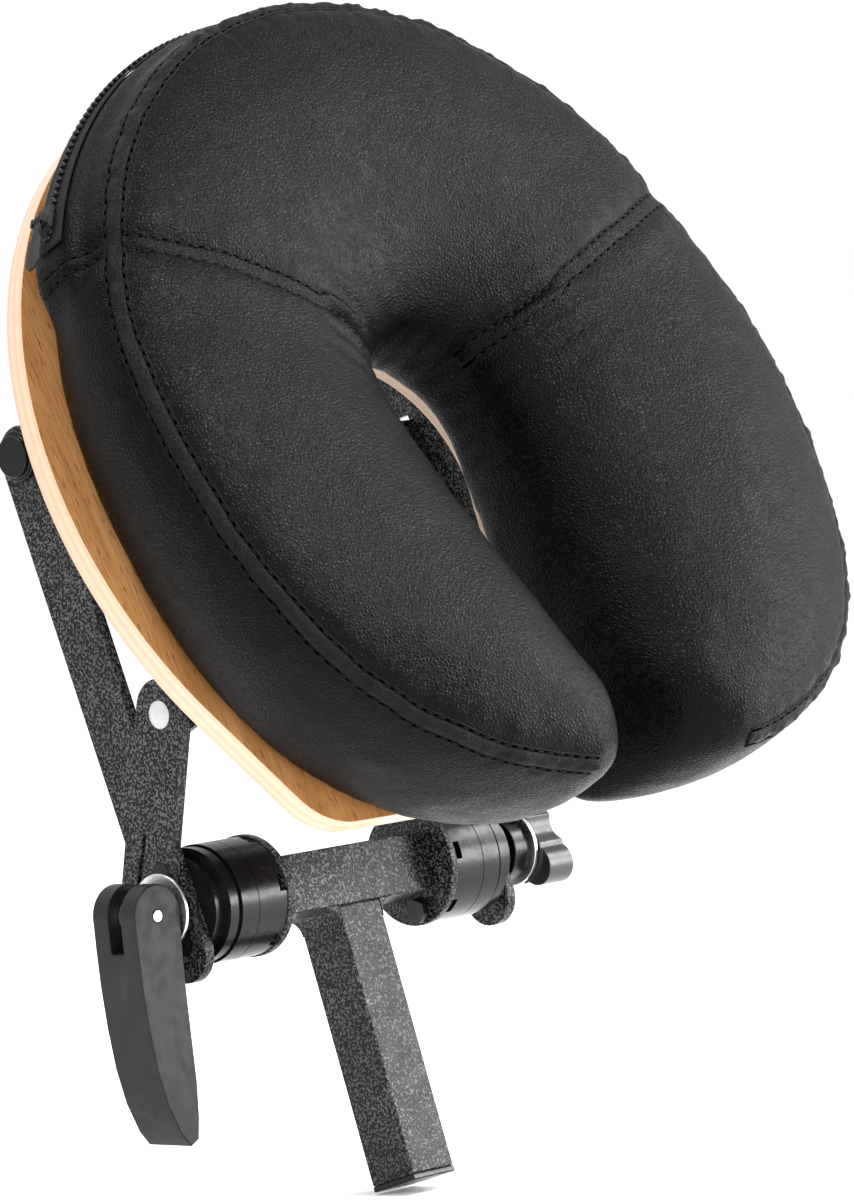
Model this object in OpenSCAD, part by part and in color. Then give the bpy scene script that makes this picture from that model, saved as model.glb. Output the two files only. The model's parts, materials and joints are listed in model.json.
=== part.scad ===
// Adjustable face cradle: a sewn horseshoe cushion on a plywood board, carried by two
// side plates that tilt on a clutch rod through the T-shaped head of a square post.
//
// Lengths are millimetres and angles are degrees.
// Row frame: origin at the centre of the post's lower end, +X towards the star knob,
// +Y away from the person, +Z up. The post leans back from +Z towards +Y.

/* [Post] */
// Lean of the post from vertical
post_lean = 15; // [10:1:25]
// Length of the post below the crossbar
post_len = 95; // [80:5:220]
// Outside width of the square tube
tube_w = 20; // [18:1:25]
// Wall of the square tube
tube_wall = 1.6; // [1.2:0.2:2.5]
// Half length of the crossbar
bar_half = 38; // [34:1:42]

/* [Head] */
// Lean of the board from the post
head_lean = 10; // [0:1:15]
// Distance from the rod axis to the back of the board
board_off = 87; // [80:1:100]
// Height of the cushion centre above the rod axis
head_rise = 112; // [106:1:130]
// Distance from the middle to the inner face of a side plate
plate_x = 71; // [68:1:76]
// Thickness of a side plate
plate_t = 4; // [3:0.5:4]
// Width of a side plate's bars
plate_w = 20.5; // [18:0.5:22]

/* [Clutch] */
// Radius of the clutch drums
drum_r = 20; // [18:0.5:21]
// Radius of the clutch rod
rod_r = 4; // [3:0.5:5]
// Distance from the middle to the cam lever's pin
pin_x = 91.5; // [90:0.5:94]
// Radius of the cam lever's head
cam_r = 10.5; // [10:0.1:10.6]
// Width of the cam lever
lever_w = 20; // [16:1:22]

/* [Board] */
// Radius of the board's round top
board_r = 145; // [135:1:145]
// Thickness of the plywood
board_t = 8; // [6:0.5:12]

/* [Cushion] */
// Radius of the sewn edge of the cushion
cush_r = 146; // [140:1:148]
// Height of the sewn edge above the back of the board, over the forehead
edge_h = 60; // [52:1:62]
// Rise of the padding above the sewn edge
crown_h = 10; // [7:1:16]
// Radius of the round part of the face opening
face_r = 28; // [25:1:34]

/* [Hidden] */
$fn = 64;
eps = 0.01;
run_gap = 0.05;
face_gap = 0.3;

// Stack along the rod, measured from the middle of the crossbar
flange_t = 3;
flange_x = bar_half + flange_t;
split_x = 54;
rod_z = post_len + tube_w / 2;

// Side plate: the long bar runs from the rod to the top pivot, the short one to the rivet
long_tilt = 6.1;
long_end = -14.7;
short_tilt = 38.6;
short_w = 22;
rivet_yz = [-29, 57.5];
pivot_yz = [-tan(long_tilt) * 160 + 1.2, 160];
key_len = 32;
key_w = 8;
hub_r = 8;

// Bracket behind the board
bracket_x = plate_x - 0.3;
bracket_t = 2.5;
bracket_low = 58;
bracket_high = 168;

// Board outline: the lobes end in round corners
toe_c = [78, -99];
toe_r = 25;
board_hole = 45;
board_gap = 26;

// Cushion ring
cush_base = board_t + 1.9;
seam_a = 64;
tip_a = 174;
hole_v = 0;
ridge = 0.38;
tip_v = -115;
tip_half = 5;
nose_a = 164;
wall_in = 3;
wall_out = 4;
strip_w = 7;
strip_t = 1.2;

// Zip along the crown's side wall
zip_n = 31;
zip_a = 60;
pull_y = 3.2;
zip_r = cush_r + wall_out + 0.15;
tape_t = 0.6;
teeth_t = 1.4;

// ---- Placing ------------------------------------------------------------------------------

module in_post() {
    rotate([-post_lean, 0, 0])
        children();
}

module at_rod() {
    in_post()
        translate([0, 0, rod_z])
            children();
}

// Rod axis at the origin, turned so that the lever hangs straight down
module at_lever() {
    at_rod()
        rotate([post_lean, 0, 0])
            children();
}

// Rod axis at the origin, board plane parallel to XZ
module in_head() {
    at_rod()
        rotate([-head_lean, 0, 0])
            children();
}

// x across, y up the board, z out of its back plane towards the person
module on_board() {
    in_head()
        translate([0, -board_off, head_rise])
            rotate([90, 0, 0])
                children();
}

// Cylinder along X from x0 to x1
module bar_x(r, x0, x1) {
    translate([min(x0, x1), 0, 0])
        rotate([0, 90, 0])
            cylinder(r = r, h = abs(x1 - x0));
}

// 2-D outline in (y, z), made into a sheet from x0 to x0 + t
module sheet_x(x0, t) {
    translate([x0, 0, 0])
        rotate([90, 0, 90])
            linear_extrude(t)
                children();
}

module both() {
    children();
    mirror([1, 0, 0])
        children();
}

// Bar with round ends between two points of a plane
module link_2d(a, b, w) {
    d = b - a;
    translate(a)
        rotate(atan2(d[1], d[0])) {
            translate([0, -w / 2])
                square([norm(d), w]);
            circle(d = w);
            translate([norm(d), 0])
                circle(d = w);
        }
}

// ---- Post ---------------------------------------------------------------------------------

module square_tube(w, wall, len) {
    difference() {
        translate([-w / 2, -w / 2, 0])
            cube([w, w, len]);
        translate([-w / 2 + wall, -w / 2 + wall, -1])
            cube([w - 2 * wall, w - 2 * wall, len + 2]);
    }
}

module post_tube() {
    color("dimgray")
        in_post()
            translate([0, 0, 2])
                square_tube(tube_w, tube_wall, post_len - 2);
}

module post_end_plug() {
    inner = tube_w - 2 * tube_wall - 0.1;
    color("black")
        in_post() {
            translate([-tube_w / 2, -tube_w / 2, 0])
                cube([tube_w, tube_w, 2]);
            translate([-inner / 2, -inner / 2, 2 - eps])
                cube([inner, inner, 12]);
        }
}

module crossbar() {
    color("dimgray")
        at_rod()
            translate([-bar_half, 0, 0])
                rotate([0, 90, 0])
                    square_tube(tube_w, tube_wall, 2 * bar_half);
}

// Curved corner plates between the post and the crossbar, flush with the tube's faces
module neck_gusset() {
    r = 6;
    color("dimgray")
        at_rod()
            both()
                translate([tube_w / 2, 0, -tube_w / 2])
                    rotate([90, 0, 0])
                        translate([0, 0, -tube_w / 2])
                            linear_extrude(tube_w)
                                difference() {
                                    translate([0, -r])
                                        square([r, r]);
                                    translate([r, -r])
                                        circle(r = r);
                                }
}

module end_flange() {
    bolt_z = -15.5;
    color("dimgray")
        at_rod()
            difference() {
                bar_x(drum_r + 0.5, bar_half, flange_x);
                bar_x(rod_r + run_gap, bar_half - 1, flange_x + 1);
                translate([0, 0, bolt_z])
                    bar_x(2.5, bar_half - 1, flange_x + 1);
            }
}

module end_flange_right() {
    end_flange();
}

module end_flange_left() {
    mirror([1, 0, 0])
        end_flange();
}

module flange_bolts() {
    bolt_z = -15.5;
    color("black")
        at_rod()
            both()
                translate([0, 0, bolt_z]) {
                    translate([bar_half - 3, 0, 0])
                        rotate([0, 90, 0])
                            cylinder(r = 4.4, h = 3, $fn = 6);
                    bar_x(2.45, bar_half - eps, flange_x + 4);
                }
}

// Drum with a notched rim against the flange and a pocket for the flange bolt
module fixed_clutch() {
    color("black")
        at_rod()
            difference() {
                bar_x(drum_r, flange_x, split_x);
                bar_x(rod_r + run_gap, flange_x - 1, split_x + 1);
                translate([0, 0, -15.5])
                    bar_x(2.5, flange_x - 1, flange_x + 4.5);
                for (a = [30 : 60 : 330])
                    rotate([a, 0, 0])
                        translate([flange_x - 1, -3, drum_r - 2.5])
                            cube([4, 6, 4]);
            }
}

module fixed_clutch_right() {
    fixed_clutch();
}

module fixed_clutch_left() {
    mirror([1, 0, 0])
        fixed_clutch();
}

module through_rod() {
    eye_t = 5.4;
    color("silver")
        at_lever()
            difference() {
                union() {
                    bar_x(rod_r, -pin_x + cam_r + 0.1, 103);
                    translate([-pin_x, -eye_t / 2, -2.9])
                        cube([cam_r + 1, eye_t, 5.8]);
                    translate([-pin_x, eye_t / 2, 0])
                        rotate([90, 0, 0])
                            cylinder(r = 5.5, h = eye_t);
                }
                translate([-pin_x, 5, 0])
                    rotate([90, 0, 0])
                        cylinder(r = 2 + run_gap, h = 10);
            }
}

module washer(r, x0, x1) {
    color("silver")
        at_rod()
            difference() {
                bar_x(r, x0, x1);
                bar_x(rod_r + run_gap, min(x0, x1) - 1, max(x0, x1) + 1);
            }
}

module cam_washer() {
    washer(12.5, -(pin_x - cam_r - face_gap), -79.5);
}

module knob_washer() {
    washer(13, 87.6, 89.2);
}

module knob_spacer() {
    color("black")
        at_rod()
            difference() {
                bar_x(11, 79.8, 87.6);
                bar_x(rod_r + run_gap, 79, 89);
            }
}

module rod_end_nut() {
    color("silver")
        at_rod()
            difference() {
                translate([102.3, 0, 0])
                    rotate([0, 90, 0])
                        cylinder(r = 7, h = 4, $fn = 6);
                bar_x(rod_r, 101, 103);
            }
}

// ---- Head: side plates, clutch halves, brackets --------------------------------------------

module plate_outline() {
    s = [sin(long_tilt), cos(long_tilt)];
    k = [sin(short_tilt), cos(short_tilt)];
    low = [1.2 - s[0] * long_end, s[1] * long_end];
    back = rivet_yz + [k[0], -k[1]] * 76;
    top = rivet_yz + [-k[0], k[1]] * 1;
    difference() {
        union() {
            link_2d(low, pivot_yz, plate_w);
            link_2d(back, top, short_w);
        }
        circle(r = hub_r + 0.1);
        rotate(long_tilt)
            link_2d([0, -key_len / 2 + key_w / 2 - 0.1], [0, key_len / 2 - key_w / 2 + 0.1],
                key_w + 0.2);
        link_2d([-1, 26], [16, 7], 1.6);
        translate(rivet_yz)
            circle(r = 3);
        translate(pivot_yz)
            circle(r = 3);
    }
}

module side_plate_right() {
    color("dimgray")
        in_head()
            sheet_x(plate_x, plate_t)
                plate_outline();
}

module side_plate_left() {
    mirror([1, 0, 0])
        side_plate_right();
}

// Toothed drum half, its key bar in the plate's slot, and its round hub
module moving_clutch() {
    groove_x = 62;
    color("black")
        in_head()
            difference() {
                union() {
                    bar_x(drum_r, split_x + face_gap, groove_x);
                    bar_x(drum_r - 1.5, groove_x - eps, groove_x + 1.2);
                    bar_x(drum_r - 0.6, groove_x + 1.2 - eps, plate_x - 4);
                    bar_x(drum_r - 3.5, plate_x - 4 - eps, plate_x);
                    sheet_x(plate_x - eps, plate_t + 0.2)
                        rotate(long_tilt)
                            link_2d([0, -key_len / 2 + key_w / 2], [0, key_len / 2 - key_w / 2],
                                key_w);
                    bar_x(hub_r, plate_x - eps, 79.2);
                }
                bar_x(rod_r + run_gap, split_x - 1, 81);
            }
}

module moving_clutch_right() {
    moving_clutch();
}

module moving_clutch_left() {
    mirror([1, 0, 0])
        moving_clutch();
}

// Web with an ear at each end, and a flange against the back of the board
module bracket_web_outline() {
    back = -board_off + 33;
    difference() {
        union() {
            translate([-board_off, bracket_low])
                square([33, bracket_high - bracket_low]);
            polygon([[-board_off, bracket_low - 8], [rivet_yz[0], rivet_yz[1] - 9],
                [rivet_yz[0], rivet_yz[1] + 9], [back, bracket_low + 24],
                [-board_off, bracket_low + 24]]);
            translate(rivet_yz)
                circle(r = 9);
            polygon([[back - 4, bracket_high - 26], [pivot_yz[0], pivot_yz[1] - 9],
                [pivot_yz[0], pivot_yz[1] + 9], [back - 4, bracket_high]]);
            translate(pivot_yz)
                circle(r = 9);
        }
        translate(rivet_yz)
            circle(r = 3);
        translate(pivot_yz)
            circle(r = 3);
    }
}

module bracket() {
    flange_w = 20;
    lip_w = 8;
    x0 = bracket_x - bracket_t;
    screw_z = [bracket_low + 14, bracket_low + 52, bracket_low + 92];
    color("dimgray")
        in_head()
            difference() {
                union() {
                    sheet_x(x0, bracket_t)
                        bracket_web_outline();
                    translate([x0 - flange_w, -board_off, bracket_low])
                        cube([flange_w + bracket_t, bracket_t, bracket_high - bracket_low]);
                    translate([x0 - lip_w, -board_off + 33 - bracket_t, bracket_low + 24])
                        cube([lip_w + 1, bracket_t, bracket_high - bracket_low - 52]);
                }
                for (z = screw_z)
                    translate([x0 - 11, -board_off - 1, z])
                        rotate([-90, 0, 0])
                            cylinder(r = 2.1, h = 6);
            }
}

module bracket_right() {
    bracket();
}

module bracket_left() {
    mirror([1, 0, 0])
        bracket();
}

// Rivet through a plate and a bracket ear, with a domed head outside
module plate_rivets() {
    x0 = bracket_x - bracket_t;
    x1 = plate_x + plate_t;
    color("gainsboro")
        in_head()
            both()
                translate([0, rivet_yz[0], rivet_yz[1]]) {
                    bar_x(3, x0 - 1.5, x1 + 0.5);
                    bar_x(5, x0 - 1.5, x0);
                    rotate([0, 90, 0])
                        translate([0, 0, x1])
                            rotate_extrude()
                                intersection() {
                                    translate([0, -5.2])
                                        circle(r = 7.2, $fn = 96);
                                    square([6, 4]);
                                }
                }
}

module pivot_bolts() {
    x0 = bracket_x - bracket_t;
    x1 = plate_x + plate_t;
    color("silver")
        in_head()
            both()
                translate([0, pivot_yz[0], pivot_yz[1]]) {
                    bar_x(3, x0 - 4, x1 + 2);
                    translate([x0 - 4, 0, 0])
                        rotate([0, 90, 0])
                            cylinder(r = 5.6, h = 4, $fn = 6);
                }
}

module pivot_caps() {
    x1 = plate_x + plate_t;
    color("black")
        in_head()
            both()
                translate([0, pivot_yz[0], pivot_yz[1]])
                    rotate([0, 90, 0])
                        translate([0, 0, x1])
                            difference() {
                                union() {
                                    cylinder(r = 8.5, h = 2.5);
                                    translate([0, 0, 2.5 - eps])
                                        cylinder(r = 7, h = 2);
                                }
                                translate([0, 0, -1])
                                    cylinder(r = 3, h = 3);
                            }
}

module bracket_screws() {
    x = bracket_x - bracket_t - 11;
    color("silver")
        in_head()
            both()
                for (z = [bracket_low + 14, bracket_low + 52, bracket_low + 92])
                    translate([x, -board_off, z])
                        rotate([90, 0, 0]) {
                            translate([0, 0, -bracket_t - 2])
                                cylinder(r = 4, h = 2);
                            translate([0, 0, -bracket_t - eps])
                                cylinder(r = 2, h = bracket_t + 6);
                        }
}

// ---- Board --------------------------------------------------------------------------------

// Solid outline of one lobe: the tangent strip from the round top to the toe's corner
module lobe_2d() {
    d = norm(toe_c);
    along = atan2(toe_c[1], toe_c[0]);
    n = along + acos((board_r - toe_r) / d);
    p = board_r * [cos(n), sin(n)];
    q = toe_c + toe_r * [cos(n), sin(n)];
    polygon([[0, 0], p, q, toe_c, toe_c - [0, toe_r], [board_gap + 12, toe_c[1] - toe_r],
        [board_gap + 12, toe_c[1] - toe_r + 12], [board_gap, toe_c[1] - toe_r + 12],
        [board_gap, 0]]);
    translate(toe_c)
        circle(r = toe_r, $fn = 96);
    translate([board_gap + 12, toe_c[1] - toe_r + 12])
        circle(r = 12);
}

module board_2d() {
    low = toe_c[1] - toe_r;
    n = atan2(toe_c[1], toe_c[0]) + acos((board_r - toe_r) / norm(toe_c));
    difference() {
        union() {
            intersection() {
                circle(r = board_r, $fn = 180);
                translate([-board_r - 1, board_r * sin(n)])
                    square([2 * board_r + 2, 2 * board_r]);
            }
            both()
                lobe_2d();
        }
        translate([0, -6])
            circle(r = board_hole, $fn = 96);
        polygon([[-board_hole + 1, -14], [-board_gap, low - 1], [-board_gap, low - 30],
            [board_gap, low - 30], [board_gap, low - 1], [board_hole - 1, -14]]);
        translate([-board_gap, low - 20])
            square([2 * board_gap, 45]);
    }
}

module board() {
    color("burlywood")
        on_board()
            difference() {
                linear_extrude(board_t)
                    board_2d();
                both()
                    for (z = [bracket_low + 14, bracket_low + 52, bracket_low + 92])
                        translate([bracket_x - bracket_t - 11, z - head_rise, -1])
                            cylinder(r = 2, h = 7.2);
            }
}

// Hook-and-loop patches: an arc over the crown and a strip on each lobe
module patch_2d() {
    intersection() {
        difference() {
            circle(r = 108);
            circle(r = 78);
        }
        translate([-60, 0])
            square([120, 120]);
    }
    both()
        translate([62, -86])
            square([30, 62]);
}

module hook_strips() {
    color("black")
        on_board()
            translate([0, 0, board_t])
                linear_extrude(0.8)
                    patch_2d();
}

module loop_strips() {
    color("black")
        on_board()
            translate([0, 0, cush_base - 0.8])
                linear_extrude(0.8)
                    patch_2d();
}

// ---- Cushion ------------------------------------------------------------------------------

// Sewn outer edge at angle a from the top, in the board's plane
function edge_r(a) = cush_r + (abs(a) > 90 ? 9 * pow(sin(2 * (abs(a) - 90)), 2) : 0);
function outer_pt(a) = edge_r(a) * [sin(a), cos(a)];

// Edge of the face opening that the same section reaches
function side(a) = a < 0 ? -1 : 1;
function hole_pt(b) = [face_r * sin(b), hole_v + face_r * cos(b)];
function lobe_u(a) = (abs(a) - seam_a) / (tip_a - seam_a);
function lobe_s(a) = (lobe_u(a) - 0.28) / 0.72;
function inner_pt(a) =
    abs(a) <= seam_a ? hole_pt(a * 50 / seam_a)
    : lobe_u(a) < 0.28 ? hole_pt(side(a) * (50 + 40 * lobe_u(a) / 0.28))
    : [side(a) * (tip_half + (face_r - tip_half) * (1 - pow(lobe_s(a), 1.3))),
        hole_v + (tip_v - hole_v) * lobe_s(a)];

// Height of the sewn edge: the cheeks are thicker than the forehead
function edge_n(a) = edge_h + 0.1 * max(0, 40 - outer_pt(a)[1]);

// Tips close with a round nose
function nose(a) = let (q = (abs(a) - nose_a) / (tip_a - nose_a))
    q <= 0 ? 1 : sqrt(max(0, 1 - q * q * 0.8));

// One section from the base's outer corner, up the wall, over the crown, down the opening
wall_steps = 6;
top_steps = 7;
roll_steps = 8;
under_steps = 5;
sec_n = wall_steps + top_steps + roll_steps + under_steps;
function wall_at(q) = wall_in * pow(1 - q, 2) - wall_out * sin(180 * q);
function sec_flat(a, i) =
    let (w = norm(outer_pt(a) - inner_pt(a)),
        h = edge_n(a),
        c = crown_h * min(1, w / 90),
        mid = 0.5 * h)
    i < wall_steps ? let (q = i / wall_steps) [wall_at(q), cush_base + q * (h - cush_base)]
    : i < wall_steps + top_steps ? let (p = (i - wall_steps) / top_steps)
        [ridge * w * p, h + c * pow(sin(90 * p), 0.85)]
    : i < wall_steps + top_steps + roll_steps
        ? let (f = 90 * (i - wall_steps - top_steps) / roll_steps)
            [(ridge + (1 - ridge) * pow(sin(f), 0.92)) * w, mid + (h + c - mid) * pow(cos(f), 0.8)]
    : let (f = 90 * (i - wall_steps - top_steps - roll_steps) / (under_steps - 1))
        [w - 12 + 12 * cos(f), mid - (mid - cush_base) * sin(f)];

function sec_pt(a, i) =
    let (o = outer_pt(a),
        d = (inner_pt(a) - o) / norm(inner_pt(a) - o),
        w = norm(outer_pt(a) - inner_pt(a)),
        s = nose(a),
        p = sec_flat(a, i),
        u = w / 2 + (p[0] - w / 2) * s,
        n = cush_base + (p[1] - cush_base) * (0.45 + 0.55 * s))
    [o[0] + d[0] * u, o[1] + d[1] * u, n];

// Closed solid through the sections at the listed angles
module ring_solid(angles) {
    m = sec_n;
    k = len(angles);
    pts = [for (a = angles, i = [0 : m - 1]) sec_pt(a, i)];
    walls = [for (j = [0 : k - 2], i = [0 : m - 1])
        let (i2 = (i + 1) % m)
        each [[j * m + i, j * m + i2, (j + 1) * m + i2],
            [j * m + i, (j + 1) * m + i2, (j + 1) * m + i]]];
    cap0 = [[for (i = [m - 1 : -1 : 0]) i]];
    cap1 = [[for (i = [0 : m - 1]) (k - 1) * m + i]];
    polyhedron(pts, concat(walls, cap0, cap1), convexity = 6);
}

lobe_angles = concat([for (i = [0 : 20]) seam_a + (nose_a - seam_a) * i / 20],
    [for (i = [1 : 8]) nose_a + (tip_a - nose_a) * sin(90 * i / 8)]);
crown_angles = [for (i = [0 : 34]) -seam_a + 2 * seam_a * i / 34];

module cushion_crown() {
    color("black")
        on_board()
            ring_solid(crown_angles);
}

module cushion_lobe_right() {
    color("black")
        on_board()
            ring_solid(lobe_angles);
}

module cushion_lobe_left() {
    color("black")
        on_board()
            ring_solid([for (i = [len(lobe_angles) - 1 : -1 : 0]) -lobe_angles[i]]);
}

// Flat tape sewn over the outer edge seam, standing just off the leather
function tape_dir(a) = (outer_pt(a) - inner_pt(a)) / norm(outer_pt(a) - inner_pt(a));
function edge_tape(a) =
    let (o = outer_pt(a), d = tape_dir(a), h = edge_n(a), g = 0.3,
        c = crown_h * min(1, norm(outer_pt(a) - inner_pt(a)) / 90),
        low = -wall_at(1 - strip_w / 2 / (h - cush_base)) + g + 0.2)
    [for (p = [[low, -strip_w / 2], [g + 0.5, 0.1], [-strip_w * 0.42, c * 0.2 + g],
        [-strip_w * 0.42, c * 0.2 + g + strip_t], [g + 0.5 + strip_t * 0.5, strip_t],
        [low + strip_t, -strip_w / 2]])
        [o[0] + d[0] * p[0], o[1] + d[1] * p[0], h + p[1]]];

module swept(rings) {
    m = len(rings[0]);
    k = len(rings);
    pts = [for (r = rings, p = r) p];
    walls = [for (j = [0 : k - 2], i = [0 : m - 1])
        let (i2 = (i + 1) % m)
        each [[j * m + i, j * m + i2, (j + 1) * m + i2],
            [j * m + i, (j + 1) * m + i2, (j + 1) * m + i]]];
    cap0 = [[for (i = [m - 1 : -1 : 0]) i]];
    cap1 = [[for (i = [0 : m - 1]) (k - 1) * m + i]];
    polyhedron(pts, concat(walls, cap0, cap1), convexity = 6);
}

module edge_strip() {
    color("black")
        on_board()
            swept([for (i = [0 : 80]) edge_tape(-160 + 320 * i / 80)]);
}

// Tape over a radial seam, from the edge to the face opening
function seam_ring(a, i, da) =
    let (p0 = sec_pt(a - da, i), p1 = sec_pt(a + da, i),
        q0 = sec_pt(a, i - 1), q1 = sec_pt(a, i + 1),
        cr = cross(q1 - q0, p1 - p0),
        nn = cr / norm(cr),
        t = (p1 - p0) / norm(p1 - p0),
        c = sec_pt(a, i))
    [c - t * 3.3 + nn * 0.3, c + t * 3.3 + nn * 0.3, c + t * 3.3 + nn * 1.3,
        c - t * 3.3 + nn * 1.3];

module seam_strip(a) {
    color("black")
        on_board()
            swept([for (i = [wall_steps + 1 : wall_steps + top_steps + roll_steps - 1])
                seam_ring(a, i, 2)]);
}

module seam_strip_right() {
    seam_strip(seam_a);
}

module seam_strip_left() {
    seam_strip(-seam_a);
}

// ---- Zip ----------------------------------------------------------------------------------

// Profile turned about the cushion's middle from angle a0 to a1, measured from the top
module arc_band(r0, r1, n0, n1, a0, a1) {
    rotate([0, 0, 90 - a1])
        rotate_extrude(angle = a1 - a0, $fn = 180)
            translate([r0, n0])
                square([r1 - r0, n1 - n0]);
}

module zip_tape() {
    color("black")
        on_board()
            arc_band(zip_r, zip_r + tape_t, zip_n - 6, zip_n + 6, -zip_a, zip_a);
}

module zip_teeth() {
    r0 = zip_r + tape_t;
    count = 44;
    color("black")
        on_board() {
            arc_band(r0, r0 + 0.5, zip_n - 1.6, zip_n + 1.6, -zip_a + 1, zip_a - 1);
            for (i = [0 : count - 1])
                let (a = -zip_a + 2 + (2 * zip_a - 4) * i / (count - 1))
                    rotate([0, 0, -a])
                        translate([-0.7, r0 + 0.4, zip_n - 1.5])
                            cube([1.4, teeth_t - 0.4, 3]);
        }
}

module zip_slider() {
    r0 = zip_r + tape_t + teeth_t + face_gap;
    color("dimgray")
        on_board()
            rotate([0, 0, zip_a - 4])
                translate([0, r0, zip_n]) {
                    translate([-4.5, 0, -3.5])
                        cube([9, 1.6, 7]);
                    translate([-3.5, 1.6 - eps, -3])
                        cube([3, 2.6, 1]);
                    translate([-3.5, 1.6 - eps, 2])
                        cube([3, 2.6, 1]);
                    translate([-2, pull_y, -3])
                        cylinder(r = 0.7, h = 6, $fn = 24);
                }
}

// Six-sided tab that hinges on the slider's small bar
module zip_pull() {
    r0 = zip_r + tape_t + teeth_t + face_gap;
    color("dimgray")
        on_board()
            rotate([0, 0, zip_a - 4])
                translate([-2, r0 + pull_y, zip_n])
                    difference() {
                        union() {
                            translate([0, 0.55, 0])
                                rotate([90, 0, 0])
                                    linear_extrude(1.1)
                                        polygon([[0.4, -1.7], [0.4, 1.7], [-6, 1.7], [-9, 3.4],
                                            [-18, 3.4], [-20, 1.6], [-20, -1.6], [-18, -3.4],
                                            [-9, -3.4], [-6, -1.7]]);
                            translate([0, 0, -1.7])
                                cylinder(r = 1.3, h = 3.4, $fn = 32);
                        }
                        translate([0, 0, -5])
                            cylinder(r = 0.75, h = 10, $fn = 24);
                    }
}

// ---- Cam lever ----------------------------------------------------------------------------

// Lever seen along the pin: round head, body tapering down and curving in at the tip
lever_out = [[-10.4, -1], [-10.2, -10], [-9.6, -22], [-8.2, -36], [-6, -50], [-2.6, -62],
    [2.2, -72], [6.4, -77]];
lever_in = [[10.2, -75], [11.2, -68], [11.6, -56], [11, -42], [10.4, -28], [10.2, -14],
    [10.4, -1]];

module cam_lever() {
    slot_w = 6;
    color("darkslategray")
        at_lever()
            translate([-pin_x, 0, 0])
                difference() {
                    rotate([90, 0, 0])
                        translate([0, 0, -lever_w / 2])
                            linear_extrude(lever_w)
                                union() {
                                    circle(r = cam_r, $fn = 96);
                                    polygon(concat(lever_out, lever_in));
                                }
                    translate([-15, -slot_w / 2, -11.5])
                        cube([30, slot_w, 30]);
                    translate([0, 15, 0])
                        rotate([90, 0, 0])
                            cylinder(r = 2, h = 30);
                }
}

module lever_pin() {
    color("silver")
        at_lever()
            translate([-pin_x, lever_w / 2 + 0.3, 0])
                rotate([90, 0, 0])
                    cylinder(r = 2, h = lever_w + 0.6);
}

// ---- Star knob ----------------------------------------------------------------------------

module star_knob() {
    x0 = 89.5;
    color("black")
        at_rod()
            difference() {
                union() {
                    sheet_x(x0, 12)
                        difference() {
                            circle(r = 13.5);
                            for (a = [45 : 120 : 285])
                                rotate(a)
                                    translate([17.5, 0])
                                        circle(r = 7);
                        }
                    sheet_x(x0, 12)
                        for (a = [105 : 120 : 345])
                            rotate(a)
                                translate([12.5, 0])
                                    circle(r = 6.8);
                }
                bar_x(6, x0 - 1, x0 + 14);
            }
}

module knob_insert() {
    color("goldenrod")
        at_rod()
            difference() {
                bar_x(6, 89.5, 101.5);
                bar_x(rod_r + run_gap, 89, 102);
            }
}

// ---- Drawing ------------------------------------------------------------------------------

post_tube();
post_end_plug();
crossbar();
neck_gusset();
end_flange_left();
end_flange_right();
flange_bolts();
fixed_clutch_left();
fixed_clutch_right();
through_rod();
cam_washer();
knob_spacer();
knob_washer();
rod_end_nut();
side_plate_left();
side_plate_right();
moving_clutch_left();
moving_clutch_right();
bracket_left();
bracket_right();
plate_rivets();
pivot_bolts();
pivot_caps();
bracket_screws();
board();
hook_strips();
loop_strips();
cushion_crown();
cushion_lobe_left();
cushion_lobe_right();
edge_strip();
seam_strip_left();
seam_strip_right();
zip_tape();
zip_teeth();
zip_slider();
zip_pull();
cam_lever();
lever_pin();
star_knob();
knob_insert();
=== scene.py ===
"""Looks of the face cradle: a stuffed leather cushion, a plywood board and steel and
plastic carrier pieces, made over the CAD nodes and on the same joints."""

import json
import math

import bmesh
import bpy
import numpy as np
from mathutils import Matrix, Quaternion, Vector, noise
from mathutils.bvhtree import BVHTree


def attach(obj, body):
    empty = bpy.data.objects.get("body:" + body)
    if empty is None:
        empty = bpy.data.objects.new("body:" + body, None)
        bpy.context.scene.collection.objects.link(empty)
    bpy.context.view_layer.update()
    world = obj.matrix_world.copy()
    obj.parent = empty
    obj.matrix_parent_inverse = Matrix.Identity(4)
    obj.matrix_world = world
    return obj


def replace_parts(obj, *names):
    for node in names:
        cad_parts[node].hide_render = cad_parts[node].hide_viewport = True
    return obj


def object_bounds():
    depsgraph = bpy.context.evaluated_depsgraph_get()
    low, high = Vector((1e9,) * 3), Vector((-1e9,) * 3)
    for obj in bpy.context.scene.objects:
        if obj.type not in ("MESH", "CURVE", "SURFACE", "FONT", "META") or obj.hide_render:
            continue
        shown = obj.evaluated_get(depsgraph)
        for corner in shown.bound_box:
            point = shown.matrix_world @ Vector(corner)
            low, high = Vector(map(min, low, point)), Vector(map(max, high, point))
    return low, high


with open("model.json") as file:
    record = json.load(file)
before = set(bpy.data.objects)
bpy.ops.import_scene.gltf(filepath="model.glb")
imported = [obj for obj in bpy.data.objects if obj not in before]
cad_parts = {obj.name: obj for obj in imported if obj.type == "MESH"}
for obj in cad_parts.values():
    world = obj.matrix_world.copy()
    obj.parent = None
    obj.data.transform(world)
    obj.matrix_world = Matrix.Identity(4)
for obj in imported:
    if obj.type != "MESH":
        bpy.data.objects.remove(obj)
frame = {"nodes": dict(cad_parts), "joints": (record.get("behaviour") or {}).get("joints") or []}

CAD_LO, CAD_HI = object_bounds()
scene = bpy.context.scene

# ---- The board's own axes: u across, v up the board, n towards the person, in millimetres ----

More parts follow.
